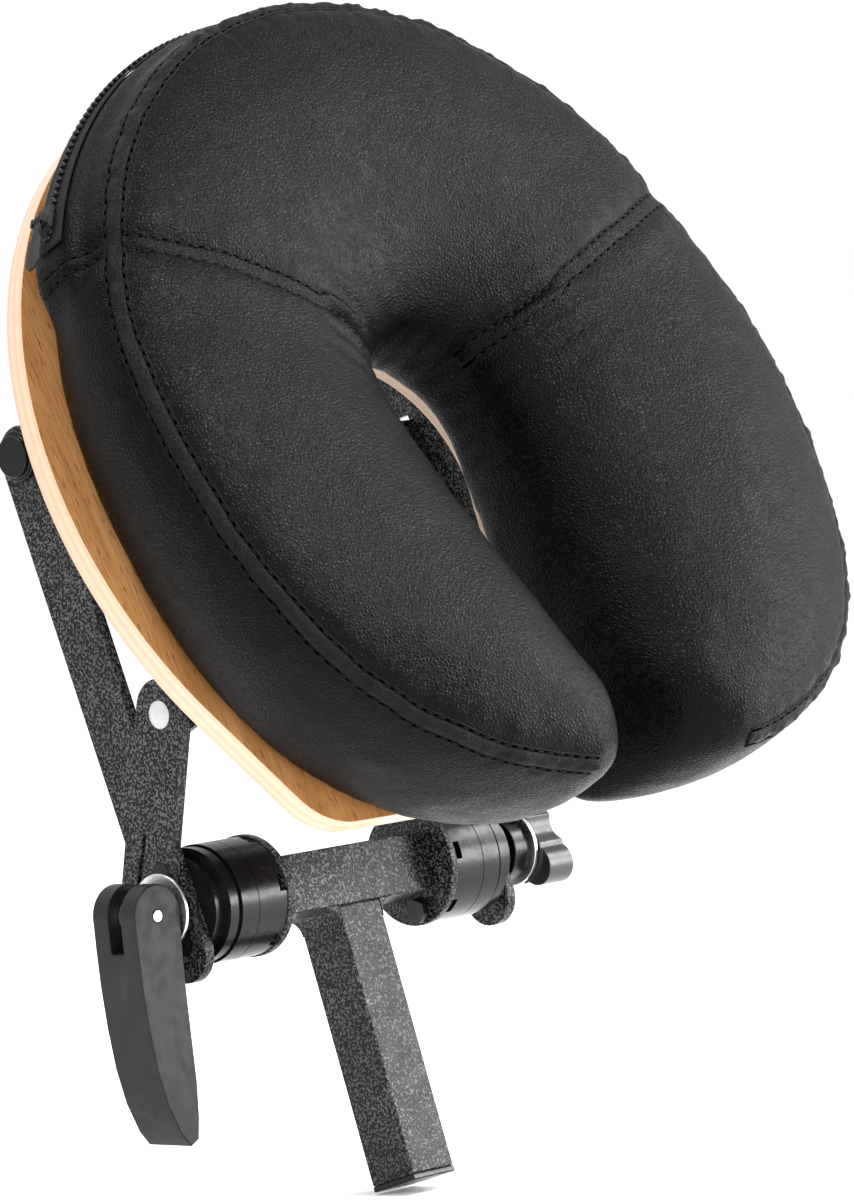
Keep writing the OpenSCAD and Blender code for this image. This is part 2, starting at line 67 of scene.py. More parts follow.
JOINTS = {j["name"]: j for j in frame["joints"]}
ORG = np.array(JOINTS["zip_run"]["pos_m"], float) * 1000
N_AX = np.array(JOINTS["cushion_lift"]["axis"], float)
N_AX /= np.linalg.norm(N_AX)
U_AX = np.array([1.0, 0.0, 0.0])
V_AX = np.cross(N_AX, U_AX)
AXES = np.array([U_AX, V_AX, N_AX])


def to_row(p):
    """Board millimetres to row-frame metres, for one point or many."""
    return (ORG + np.asarray(p, float) @ AXES) / 1000


def to_board(p):
    """Row-frame metres to board millimetres, for one point or many."""
    return (np.asarray(p, float) * 1000 - ORG) @ AXES.T


# ---- Cushion ring: degrees from the middle of the forehead, millimetres in board axes ----

CUSH_R = 146.0  # radius of the sewn edge over the forehead
LOBE_OUT = 9.0  # how much further out the sewn edge runs round the lobes
EDGE_H = 60.0  # height of the sewn edge over the forehead
EDGE_RISE, EDGE_FLAT_V = 0.1, 40.0  # the edge rises this much per mm below this v
CROWN_H = 10.0  # rise of the padding above the sewn edge
CROWN_FULL_W = 90.0  # a narrower section has a lower crown
BASE_N = 9.9  # the underside, on the hook-and-loop patches
FACE_R = 28.0  # round part of the face opening
SEAM_A, SEAM_HOLE_A = 64.0, 50.0  # a radial seam's angle at the edge and at the opening
NOSE_A, TIP_A = 164.0, 174.0  # where a lobe starts to round off, and where it ends
TIP_V, TIP_HALF = -115.0, 10.5  # lobe tip: height, and half the gap between the lobes
ARC_SHARE = 0.28  # share of a lobe's inner side that is still round
RIDGE = 0.38  # highest line, as a share of the section's width
WALL_IN, WALL_OUT = 12.0, 4.0  # the wall's foot is drawn in and its middle bulges
INNER_ROUND = 3.0  # rounding at the foot of the opening's wall
NOSE_LOW = 0.45  # height left at the end of the rounding
ZIP_N, ZIP_A, ZIP_R = 31.0, 60.0, 150.15  # zip: height, half angle and radius


def edge_r(a):
    a = abs(a)
    return CUSH_R + (LOBE_OUT * math.sin(math.radians(2 * (a - 90))) ** 2 if a > 90 else 0)


def outer_pt(a):
    r = math.radians(a)
    return np.array([math.sin(r), math.cos(r)]) * edge_r(a)


def hole_pt(b):
    r = math.radians(b)
    return np.array([math.sin(r), math.cos(r)]) * FACE_R


def inner_pt(a):
    """Point of the opening's outline that faces the outer edge's point at angle a."""
    if abs(a) <= SEAM_A:
        return hole_pt(a * SEAM_HOLE_A / SEAM_A)
    s = (abs(a) - SEAM_A) / (TIP_A - SEAM_A)
    sign = math.copysign(1, a)
    if s < ARC_SHARE:
        return hole_pt(sign * (SEAM_HOLE_A + (90 - SEAM_HOLE_A) * s / ARC_SHARE))
    t = (s - ARC_SHARE) / (1 - ARC_SHARE)
    return np.array([sign * (TIP_HALF + (FACE_R - TIP_HALF) * (1 - t**1.3)), TIP_V * t])


def edge_n(a):
    return EDGE_H + EDGE_RISE * max(0, EDGE_FLAT_V - outer_pt(a)[1])


def nose(a):
    """Size of the section, 1 along the ring and smaller round the lobe's tip."""
    q = (abs(a) - NOSE_A) / (TIP_A - NOSE_A)
    return 1.0 if q <= 0 else math.sqrt(max(0.0, 1 - q * q * 0.8))


def section(a, t):
    """Point of the section at angle a: t runs 0..1 up the wall, 1..2 to the crown,
    2..3 down to the opening and 3..4 under to the base."""
    o, i = outer_pt(a), inner_pt(a)
    w = np.linalg.norm(o - i)
    h = edge_n(a)
    c = CROWN_H * min(1, w / CROWN_FULL_W)
    mid = 0.5 * h
    if t < 1:
        across = WALL_IN * (1 - t) ** 2 - WALL_OUT * math.sin(math.pi * t)
        height = BASE_N + t * (h - BASE_N)
    elif t < 2:
        across = RIDGE * w * (t - 1)
        height = h + c * math.sin(math.pi / 2 * (t - 1)) ** 0.85
    elif t < 3:
        f = math.pi / 2 * (t - 2)
        across = (RIDGE + (1 - RIDGE) * math.sin(f) ** 0.92) * w
        height = mid + (h + c - mid) * max(0, math.cos(f)) ** 0.8
    else:
        f = math.pi / 2 * min(1, t - 3)
        across = w - INNER_ROUND * (1 - math.cos(f))
        height = mid - (mid - BASE_N) * math.sin(f)
    d = (i - o) / w
    s = nose(a)
    u = w / 2 + (across - w / 2) * s
    n = BASE_N + (height - BASE_N) * (NOSE_LOW + (1 - NOSE_LOW) * s)
    return np.array([o[0] + d[0] * u, o[1] + d[1] * u, n])


# ---- Materials ----


class Mat:
    """A node material with its texture coordinate in millimetres."""

    def __init__(self, name, **values):
        self.m = bpy.data.materials.new(name)
        self.m.use_nodes = True
        self.nt = self.m.node_tree
        self.bsdf = self.nt.nodes["Principled BSDF"]
        for k, v in values.items():
            self.set(k.replace("_", " "), v)
        self.tc = self.nt.nodes.new("ShaderNodeTexCoord")
        self.co = self.vec("SCALE", self.tc.outputs["Object"], scale=1000.0)
        self.normal = None

    def feed(self, socket, value):
        """Links the socket to another socket, or sets it to a value."""
        if isinstance(value, bpy.types.NodeSocket):
            self.nt.links.new(value, socket)
        elif socket.type == "RGBA":
            socket.default_value = (*value, 1.0)
        else:
            socket.default_value = value

    def set(self, name, value):
        self.feed(self.bsdf.inputs[name], value)

    def node(self, kind, inputs, **props):
        n = self.nt.nodes.new(kind)
        for k, v in props.items():
            setattr(n, k, v)
        for k, v in dict(inputs).items():
            self.feed(n.inputs[k], v)
        return n

    def vec(self, op, a, b=None, scale=None):
        inputs = {0: a}
        if b is not None:
            inputs[1] = b
        if scale is not None:
            inputs["Scale"] = scale
        n = self.node("ShaderNodeVectorMath", inputs, operation=op)
        return n.outputs["Value" if op == "DOT_PRODUCT" else "Vector"]

    def math(self, op, a, b=0.0):
        return self.node("ShaderNodeMath", {0: a, 1: b}, operation=op).outputs[0]

    def noise(self, size, detail=3.0, rough=0.5, co=None):
        inputs = {
            "Vector": co or self.co,
            "Scale": 1 / size,
            "Detail": detail,
            "Roughness": rough,
        }
        return self.node("ShaderNodeTexNoise", inputs).outputs["Fac"]

    def cells(self, size, feature, co):
        n = self.node("ShaderNodeTexVoronoi", {"Vector": co, "Scale": 1 / size}, feature=feature)
        return n.outputs["Distance"]

    def wobble(self, size, amount):
        """The coordinate, moved about by noise."""
        inputs = {"Vector": self.co, "Scale": 1 / size, "Detail": 2.0}
        n = self.node("ShaderNodeTexNoise", inputs)
        off = self.vec("SUBTRACT", n.outputs["Color"], (0.5, 0.5, 0.5))
        return self.vec("ADD", self.co, self.vec("SCALE", off, scale=amount))

    def ramp(self, fac, lo, hi, a=0.0, b=1.0):
        """fac from lo..hi, smoothly to a..b."""
        inputs = {"Value": fac, "From Min": lo, "From Max": hi, "To Min": a, "To Max": b}
        n = self.node("ShaderNodeMapRange", inputs, interpolation_type="SMOOTHSTEP")
        return n.outputs[0]

    def mix(self, fac, a, b):
        n = self.node("ShaderNodeMix", {"Factor": fac}, data_type="RGBA")
        colour_a, colour_b, colour_out = 6, 7, 2
        self.feed(n.inputs[colour_a], a)
        self.feed(n.inputs[colour_b], b)
        return n.outputs[colour_out]

    def bump(self, height, depth):
        """depth in millimetres for a height of 1, on top of earlier bumps."""
        n = self.node("ShaderNodeBump", {"Height": height, "Distance": depth / 1000})
        if self.normal:
            self.feed(n.inputs["Normal"], self.normal)
        self.normal = n.outputs["Normal"]
        self.set("Normal", self.normal)


def leather(name, base, grain=1.3, depth=0.16, wrinkle=0.0):
    """Black synthetic leather: pebbles of the grain's size, cloudy in tone and gloss, with
    painted shade in the crevices between the pebbles.
    """
    m = Mat(name, Specular_IOR_Level=0.062)
    co = m.wobble(4.0, 0.9)
    pebble = m.ramp(m.cells(grain, "DISTANCE_TO_EDGE", co), 0.0, 0.32)
    dome = m.ramp(m.cells(grain, "F1", co), 0.0, 0.75, 1.0, 0.55)
    skin = m.math("MULTIPLY", pebble, dome)
    patches = m.noise(26.0, 4.0, 0.55)
    dark = tuple(c * 0.62 for c in base)
    light = tuple(c * 1.28 for c in base)
    tone = m.mix(m.ramp(patches, 0.32, 0.7), dark, light)
    # Painted shade: the crevices between pebbles take half the base colour, and the pebble tops
    # stay lighter as painted light.
    m.set("Base Color", m.mix(m.ramp(skin, 0.05, 0.6), tuple(c * 0.5 for c in base), tone))
    r = m.ramp(m.noise(9.0, 3.0), 0.3, 0.7, 0.3, 0.38)
    m.set("Roughness", m.math("ADD", r, m.ramp(skin, 0.0, 0.7, 0.12, 0.0)))
    m.bump(skin, depth)
    m.bump(m.noise(7.0, 4.0, 0.6), 0.2 + wrinkle)
    if wrinkle:
        m.bump(m.noise(2.4, 3.0, 0.6), wrinkle)
    m.bump(m.noise(0.5, 2.0), 0.035)
    return m.m


def hammertone(name):
    """Black enamel with grey islands about a millimetre wide."""
    m = Mat(name, Specular_IOR_Level=0.13, Coat_Weight=0.03, Coat_Roughness=0.25)
    co = m.wobble(1.6, 1.2)
    islands = m.ramp(m.noise(0.85, 1.4, 0.5, co), 0.49, 0.6)
    cloud = m.ramp(m.noise(30.0, 3.0), 0.3, 0.7)
    light = m.mix(cloud, (0.06, 0.061, 0.063), (0.088, 0.09, 0.093))
    m.set("Base Color", m.mix(islands, (0.0022, 0.0022, 0.0026), light))
    m.set("Metallic", m.ramp(islands, 0.0, 1.0, 0.0, 0.15))
    m.set("Roughness", m.ramp(m.noise(5.0, 3.0), 0.3, 0.7, 0.3, 0.45))
    m.bump(islands, 0.13)
    m.bump(m.noise(4.0, 3.0, 0.6), 0.1)
    return m.m


def plastic(name, base, rough, fine=0.35, depth=0.012, spec=0.5, scuff=0.5):
    """Moulded or coated piece: fine is the texture's size and scuff the wear in the gloss."""
    m = Mat(name, Specular_IOR_Level=spec)
    wear = m.ramp(m.noise(14.0, 5.0, 0.65), 0.45, 0.75)
    m.set("Base Color", m.mix(wear, base, tuple(c * 1.35 + 0.002 for c in base)))
    low, high = rough * (1 - 0.22 * scuff), min(1.0, rough * (1 + 0.6 * scuff))
    m.set("Roughness", m.ramp(m.noise(4.0, 5.0, 0.6), 0.3, 0.75, low, high))
    m.bump(m.noise(fine, 3.0, 0.6), depth)
    m.bump(m.noise(9.0, 2.0), 0.05)
    return m.m


def metal(name, base, rough, streak=(1, 1, 1)):
    """Bare metal with fine tool lines, closest together along the axes streak scales up."""
    m = Mat(name, Metallic=1.0)
    co = m.vec("MULTIPLY", m.co, streak)
    lines = m.noise(0.35, 4.0, 0.65, co)
    cloud = m.noise(6.0, 4.0, 0.6)
    dull = tuple(c * 0.75 for c in base)
    m.set("Base Color", m.mix(m.ramp(cloud, 0.35, 0.7), dull, base))
    r = m.ramp(cloud, 0.3, 0.7, rough * 1.35, rough * 0.8)
    m.set("Roughness", m.math("ADD", r, m.ramp(lines, 0.3, 0.7, 0.0, 0.1)))
    m.bump(lines, 0.012)
    m.bump(m.noise(3.0, 2.0), 0.03)
    return m.m


def board_coords(m):
    """u, v and n sockets in the board's own axes, in millimetres from its middle."""
    p = m.vec("SUBTRACT", m.co, tuple(ORG))
    return [m.vec("DOT_PRODUCT", p, tuple(ax)) for ax in (U_AX, V_AX, N_AX)]


PLY = 3.2  # one pair of plies, in millimetres


def beech():
    """Beech veneer along v, and pale bands of plies on the edge."""
    m = Mat("beech_plywood", Specular_IOR_Level=0.45, Coat_Weight=0.25, Coat_Roughness=0.22)
    u, v, n = board_coords(m)

    def stretched(su, sv, sn=1.0):
        parts = [m.math("MULTIPLY", x, k) for x, k in ((u, su), (v, sv), (n, sn))]
        return m.node("ShaderNodeCombineXYZ", enumerate(parts)).outputs[0]

    bands = m.noise(1.0, 4.0, 0.6, stretched(0.05, 0.006))
    fibre = m.noise(1.0, 4.0, 0.7, stretched(1.1, 0.035))
    tone = m.mix(m.ramp(bands, 0.34, 0.68), (0.36, 0.155, 0.046), (0.54, 0.275, 0.1))
    tone = m.mix(m.ramp(fibre, 0.4, 0.7, 0.0, 0.55), tone, (0.24, 0.085, 0.022))
    fleck = m.ramp(m.noise(1.0, 1.0, 0.4, stretched(1.5, 0.16)), 0.62, 0.7)
    face = m.mix(m.math("MULTIPLY", fleck, 0.75), tone, (0.13, 0.045, 0.014))
    ply = m.math("SINE", m.math("MULTIPLY", n, 2 * math.pi / PLY))
    end = m.noise(1.0, 3.0, 0.6, stretched(1.3, 1.3, 0.6))
    pale = m.mix(m.ramp(ply, -0.5, 0.5), (0.5, 0.375, 0.26), (0.47, 0.325, 0.22))
    pale = m.mix(m.ramp(end, 0.4, 0.75, 0.0, 0.3), pale, (0.4, 0.25, 0.15))
    facing = m.math("ABSOLUTE", m.vec("DOT_PRODUCT", m.tc.outputs["Normal"], tuple(N_AX)))
    side = m.ramp(facing, 0.5, 0.86, 1.0, 0.0)
    m.set("Base Color", m.mix(side, face, pale))
    m.set("Roughness", m.ramp(m.noise(6.0, 3.0), 0.3, 0.7, 0.3, 0.46))
    m.bump(fibre, 0.05)
    m.bump(m.math("MULTIPLY", m.ramp(ply, -0.5, 0.5), side), 0.08)
    return m.m


def cloth_tape(name, base, pitch):
    """Twill that follows the cushion's round edge, with threads this far apart."""
    m = Mat(name, Roughness=0.85, Specular_IOR_Level=0.1, Sheen_Weight=0.04, Sheen_Roughness=0.6)
    u, v, n = board_coords(m)
    ang = m.math("ARCTAN2", u, v)
    s = m.math("MULTIPLY", ang, CUSH_R)
    k = 2 * math.pi / pitch
    warp = m.math("SINE", m.math("MULTIPLY", m.math("ADD", s, n), k))
    weft = m.math("SINE", m.math("MULTIPLY", m.math("SUBTRACT", s, n), k))
    weave = m.math("MAXIMUM", warp, weft)
    # Painted shade: the gaps between the threads are darkened to 0.4 of the base colour.
    m.set("Base Color", m.mix(m.ramp(weave, -0.2, 1.0), tuple(c * 0.4 for c in base), base))
    m.bump(weave, 0.07)
    m.bump(m.noise(3.0, 3.0), 0.15)
    return m.m


def fuzz(name):
    """Hook-and-loop pile."""
    m = Mat(name, Roughness=0.95, Sheen_Weight=0.4, Sheen_Roughness=0.5)
    loops = m.ramp(m.cells(0.8, "F1", m.wobble(1.0, 0.8)), 0.1, 0.8, 1.0, 0.0)
    # Painted light and shade: the raised loop tops are lighter and the hollows between the loops
    # darker.
    m.set("Base Color", m.mix(loops, (0.006, 0.006, 0.006), (0.05, 0.05, 0.05)))
    m.bump(loops, 0.5)
    return m.m


# Base colours are linear
LEATHER = leather("black_pebble_leather", (0.0012, 0.0012, 0.0014))
TAPE = leather("leather_edge_tape", (0.0062, 0.0062, 0.0066), 0.8, 0.14, 0.3)
# Near-black painted shade for the grooves beside the stitch lines, on the same leather
SEAM_GROOVE_SHADE = plastic("painted_seam_groove_shade", (0.0003, 0.0003, 0.0003), 0.9, 0.8, 0.05, 0.0)
THREAD = plastic("twisted_thread", (0.001, 0.001, 0.0011), 0.6, 0.3, 0.08, 0.12)
HAMMER = hammertone("hammertone_enamel")
GLOSS = plastic("gloss_black_moulding", (0.003, 0.003, 0.0035), 0.24, 0.6, 0.006, 0.2)
SATIN = plastic("satin_black_moulding", (0.008, 0.008, 0.0088), 0.33, 0.3, 0.03)
LEVER = plastic("lever_coating", (0.006, 0.0062, 0.0068), 0.42, 0.25, 0.035, 0.22)
ZINC = metal("bright_zinc", (0.72, 0.73, 0.75), 0.24, (1, 0.25, 1))
BLACKZINC = metal("black_oxide", (0.045, 0.045, 0.05), 0.38)
RIVET = plastic("rivet_cap", (0.42, 0.43, 0.44), 0.42, 0.5, 0.02)
BRASS = metal("turned_brass", (0.66, 0.47, 0.2), 0.24, (8, 1, 1))
BEECH = beech()
HOOK = fuzz("hook_and_loop")
ZIPTAPE = cloth_tape("zip_tape_weave", (0.005, 0.005, 0.0055), 0.9)
ZIPTOOTH = plastic("zip_moulding", (0.004, 0.004, 0.0045), 0.4, 0.3, 0.02, 0.2)

# ---- Mesh helpers ----


def shade_smooth(me):
    me.polygons.foreach_set("use_smooth", [True] * len(me.polygons))


def add(name, verts, faces, mat, body):
    """A new smooth piece on a body."""
    me = bpy.data.meshes.new(name)
    me.from_pydata([tuple(v) for v in verts], [], faces)
    me.validate()
    ob = bpy.data.objects.new(name, me)
    scene.collection.objects.link(ob)
    me.materials.append(mat)
    shade_smooth(me)
    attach(ob, body)
    return ob


def applied(ob):
    """The object's mesh with its modifiers in it."""
    dg = bpy.context.evaluated_depsgraph_get()
    me = bpy.data.meshes.new_from_object(ob.evaluated_get(dg), depsgraph=dg)
    ob.modifiers.clear()
    ob.data = me
    return ob


def tube_faces(rows, sides, base=0):
    """Faces of a closed tube whose rings follow one another, with a cap on each end."""
    def at(j, i):
        return base + j * sides + i % sides

    faces = [
        (at(j, i), at(j, i + 1), at(j + 1, i + 1), at(j + 1, i))
        for j in range(rows - 1)
        for i in range(sides)
    ]
    faces.append(tuple(at(0, i) for i in range(sides - 1, -1, -1)))
    faces.append(tuple(at(rows - 1, i) for i in range(sides)))
    return faces


MERGE, FLAT_ANGLE, EDGE_ANGLE = 2e-6, math.radians(0.4), math.radians(32)


def polish(node, mat, body, width, segments=3, name=None):
    """A copy of a CAD node with its edges rounded by width millimetres, in its place."""
    src = frame["nodes"][node]
    me = src.data.copy()
    ob = bpy.data.objects.new(name or node + "_finished", me)
    scene.collection.objects.link(ob)
    bm = bmesh.new()
    bm.from_mesh(me)
    bmesh.ops.remove_doubles(bm, verts=bm.verts, dist=MERGE)
    bmesh.ops.dissolve_degenerate(bm, edges=bm.edges, dist=MERGE / 2)
    bmesh.ops.dissolve_limit(bm, angle_limit=FLAT_ANGLE, verts=bm.verts, edges=bm.edges)
    bm.to_mesh(me)
    bm.free()
    me.materials.clear()
    me.materials.append(mat)
    shade_smooth(me)
    bevel = ob.modifiers.new("edge", "BEVEL")
    bevel.width, bevel.segments = width / 1000, segments
    bevel.limit_method, bevel.angle_limit = "ANGLE", EDGE_ANGLE
    bevel.harden_normals = True
    bevel.use_clamp_overlap = True
    bevel.miter_outer = "MITER_ARC"
    ob.modifiers.new("normals", "WEIGHTED_NORMAL").keep_sharp = True
    applied(ob)
    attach(ob, body)
    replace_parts(ob, node)
    return ob


def paint(node, mat):
    """A CAD node that keeps its shape takes a material."""
    me = frame["nodes"][node].data
    me.materials.clear()
    me.materials.append(mat)


# ---- Camera, floor and light ----

# A long lens from in front of the lever's side, almost level and slightly rolled
CAM_AZ, CAM_EL, CAM_ROLL = math.radians(-46.2), math.radians(3.1), math.radians(-4.9)
CAM_DIST, CAM_LENS = 2.412, 215.4  # metres, millimetres
CAM_SIDE, CAM_UP = -4.3, 12.2  # the camera's own offset, in millimetres
AIM_AT = (30.6, -53.6, -25.6)  # in board axes

back = Vector(
    (
        math.sin(CAM_AZ) * math.cos(CAM_EL),
        -math.cos(CAM_AZ) * math.cos(CAM_EL),
        math.sin(CAM_EL),
    )
)
cam_data = bpy.data.cameras.new("camera")
cam = bpy.data.objects.new("camera", cam_data)
scene.collection.objects.link(cam)
cam_data.sensor_width, cam_data.lens = 36, CAM_LENS
cam_data.clip_start, cam_data.clip_end = 0.05, 100
turn = (-back).to_track_quat("-Z", "Y") @ Quaternion((0, 0, 1), CAM_ROLL)
offset = turn @ Vector((CAM_SIDE, CAM_UP, 0)) / 1000
cam.location = Vector(to_row(AIM_AT)) + back * CAM_DIST + offset
cam.rotation_mode = "QUATERNION"
cam.rotation_quaternion = turn
scene.camera = cam

FLOOR_R, FLOOR_SIDES = 30.0, 96
FLOOR_Z = CAD_LO.z - 0.0005
floor_mesh = bpy.data.meshes.new("floor")
turns = [2 * math.pi * i / FLOOR_SIDES for i in range(FLOOR_SIDES)]
outline = [(FLOOR_R * math.cos(t), FLOOR_R * math.sin(t), FLOOR_Z) for t in turns]
floor_mesh.from_pydata(outline, [], [list(range(FLOOR_SIDES))])
floor = bpy.data.objects.new("floor", floor_mesh)
scene.collection.objects.link(floor)
pale = Mat("pale_floor", Roughness=0.9, Specular_IOR_Level=0.1)
cloud = pale.ramp(pale.noise(900.0, 2.0), 0.3, 0.7)
pale.set("Base Color", pale.mix(cloud, (0.955, 0.955, 0.955), (0.965, 0.965, 0.965)))
floor_mesh.materials.append(pale.m)

world = bpy.data.worlds.new("studio")
world.use_nodes = True
sky = world.node_tree.nodes["Background"].inputs
sky["Color"].default_value = (1, 1, 1, 1)
sky["Strength"].default_value = 1.06
scene.world = world
scene.view_settings.view_transform = "Standard"

MID = tuple(to_row((0, 0, 30)))


def softbox(name, at, size, power):
    """A rectangular light that faces the cushion's middle; metres and watts."""
    d = bpy.data.lights.new(name, "AREA")
    d.shape, d.size, d.size_y = "RECTANGLE", size[0], size[1]
    d.energy = power
    o = bpy.data.objects.new(name, d)
    scene.collection.objects.link(o)
    o.location = at
    o.rotation_euler = (Vector(MID) - Vector(at)).to_track_quat("-Z", "Y").to_euler()


softbox("key", (0.35, -1.3, 1.7), (0.6, 0.5), 56)
softbox("rim", (1.4, -0.7, 0.8), (0.35, 1.0), 26)
softbox("top", (-0.5, 0.3, 1.6), (0.7, 0.5), 18)
softbox("front", (1.1, -1.15, 0.3), (0.5, 0.5), 19)
softbox("low", (-1.2, -1.0, 0.5), (0.4, 0.9), 9)

# ---- Cushion cover ----

# Points per quarter of the section, and rings along the ring and round each lobe's tip
SECTION_STEPS, RING_STEPS, NOSE_STEPS = (14, 16, 20, 10), 165, 10
VOXEL = 0.0042  # metres
SHRINK = 0.8  # millimetres the ring is smaller before it is blown up


def ring_mesh():
    """One closed tube round the whole ring, from lobe tip to lobe tip."""
    ts = [part + i / k for part, k in enumerate(SECTION_STEPS) for i in range(k)]
    steps = [math.sin(math.pi / 2 * i / NOSE_STEPS) for i in range(1, NOSE_STEPS + 1)]
    lobes = [NOSE_A + (TIP_A - NOSE_A) * x for x in steps]
    angs = [-a for a in reversed(lobes)] + list(np.linspace(-NOSE_A, NOSE_A, RING_STEPS)) + lobes
    verts = [section(a, t) for a in angs for t in ts]
    return verts, tube_faces(len(angs), len(ts))


def seam_frame(sign):
    """Radial seam: its outer end, its direction inwards and the direction across it."""
    o, i = outer_pt(sign * SEAM_A), inner_pt(sign * SEAM_A)
    d = (i - o) / np.linalg.norm(i - o)
    return o, d, np.array([-d[1], d[0]])


SEAMS = {sign: seam_frame(sign) for sign in (-1, 1)}
SEAM_W = float(np.linalg.norm(outer_pt(SEAM_A) - inner_pt(SEAM_A)))
# Angle, radius and height of the sewn edge
EDGE_TAB = np.array([[a, edge_r(a), edge_n(a)] for a in np.linspace(-180, 180, 721)])


def co_of(me):
    co = np.empty(len(me.vertices) * 3)
    me.vertices.foreach_get("co", co)
    return co.reshape(-1, 3)


def set_co(me, co):
    me.vertices.foreach_set("co", np.asarray(co, float).reshape(-1))
    me.update()


def seam_distances(p):
    """For board points: their angle, the edge seam's radius there, the distance to the edge
    seam, and for each radial seam the distance across it and the place along it."""
    ang = np.degrees(np.arctan2(p[:, 0], p[:, 1]))
    r = np.hypot(p[:, 0], p[:, 1])
    er = np.interp(ang, EDGE_TAB[:, 0], EDGE_TAB[:, 1])
    en = np.interp(ang, EDGE_TAB[:, 0], EDGE_TAB[:, 2])
    edge = np.hypot(r - er, p[:, 2] - en)
    radial = {}
    for sign, (o, d, w) in SEAMS.items():
        q = p[:, :2] - o
        radial[sign] = (q @ w, q @ d)
    return ang, er, edge, radial


def fade_in(x, start, span):
    """0 up to start, 1 from start + span on."""
    return np.clip((x - start) / span, 0, 1)


def fade_out(x, end, span):
    """1 up to end - span, 0 from end on."""
    return np.clip((end - x) / span, 0, 1)


def hump(x, middle, width):
    """A bell of height 1."""
    return np.exp(-(((x - middle) / width) ** 2))


def smooth_mesh(me, times, factor=0.5):
    bm = bmesh.new()
    bm.from_mesh(me)
    for _ in range(times):
        bmesh.ops.smooth_vert(
            bm, verts=bm.verts, factor=factor, use_axis_x=True, use_axis_y=True, use_axis_z=True
        )
    bm.to_mesh(me)
    bm.free()


def normals_of(me):
    return np.array([v.normal for v in me.vertices])


def face_outwards(me, triangles=False):
    bm = bmesh.new()
    bm.from_mesh(me)
    bmesh.ops.recalc_face_normals(bm, faces=bm.faces)
    if triangles:
        bmesh.ops.triangulate(bm, faces=bm.faces)
    bm.to_mesh(me)
    bm.free()


def make_cover():
    """The ring, a little too small, remeshed and then blown up against its seams."""
    verts, faces = ring_mesh()
    me = bpy.data.meshes.new("cushion_cover")
    me.from_pydata([tuple(v) for v in to_row(verts)], [], faces)
    ob = bpy.data.objects.new("cushion_cover", me)
    scene.collection.objects.link(ob)
    face_outwards(me, triangles=True)
    b = to_board(co_of(me))
    inwards = -(normals_of(me) @ AXES.T)
    set_co(me, to_row(b + inwards * SHRINK * fade_in(b[:, 2:3], 12, 14)))
    remesh = ob.modifiers.new("remesh", "REMESH")
    remesh.mode, remesh.voxel_size = "VOXEL", VOXEL
    applied(ob)
    smooth_mesh(ob.data, 4)
    inflate(ob)
    smooth_mesh(ob.data, 2, 0.4)
    sub = ob.modifiers.new("sub", "SUBSURF")
    sub.levels = sub.render_levels = 1
    applied(ob)
    return ob


CLOTH_FRAMES, PRESSURE, MOST_MOVE = 20, 4.0, 0.007
HELD, HELD_SPAN = 1.2, 6.0  # the hold fades out over HELD * HELD_SPAN mm from a seam


def inflate(ob):
    """Cloth with air pressure; the base and the seams hold still."""
    before = co_of(ob.data)
    b = to_board(before)
    ang, _, edge, radial = seam_distances(b)
    pin = np.clip(HELD - edge / HELD_SPAN, 0, 1) * 0.9 * (np.abs(ang) < 162)
    for across, along in radial.values():
        near = np.clip(HELD - np.abs(across) / HELD_SPAN, 0, 1)
        near *= (along > -8) & (along < SEAM_W) & (b[:, 2] > 20)
        pin = np.maximum(pin, near * 0.9)
    pin = np.maximum(pin, fade_out(b[:, 2], 15, 4))
    group = ob.vertex_groups.new(name="held")
    for i in np.nonzero(pin > 0.02)[0]:
        group.add([int(i)], float(pin[i]), "REPLACE")
    mod = ob.modifiers.new("cloth", "CLOTH")
    st = mod.settings
    st.vertex_group_mass = "held"
    st.pin_stiffness = 6
    st.quality = 5
    st.mass = 0.3
    st.use_pressure = True
    st.uniform_pressure_force = PRESSURE
    st.effector_weights.gravity = 0
    st.tension_stiffness = st.compression_stiffness = 18
    st.bending_stiffness = 1.2
    mod.collision_settings.use_collision = False
    scene.frame_start, scene.frame_end = 1, CLOTH_FRAMES
    for f in range(1, CLOTH_FRAMES + 1):
        scene.frame_set(f)
    applied(ob)
    scene.frame_set(1)
    ob.vertex_groups.clear()
    move = co_of(ob.data) - before
    size = np.linalg.norm(move, axis=1, keepdims=True)
    set_co(ob.data, before + move * np.minimum(1, MOST_MOVE / np.maximum(size, 1e-9)))


# Depths and heights on the cover, in millimetres
SAG, DIMPLE = 0.75, 0.3  # soft unevenness, large and small
EDGE_VALLEY, SEAM_VALLEY, VALLEY_W = 1.3, 1.9, 5.5
EDGE_PUCKER, SEAM_PUCKER = 0.26, 0.2
GATHER, RIM_FOLD = 1.1, 0.75  # folds where a radial seam ends, and down the opening's wall


def fbm(p, size, seed):
    return noise.fractal(Vector((p[0] / size + seed, p[1] / size, p[2] / size)), 0.9, 2.0, 3)


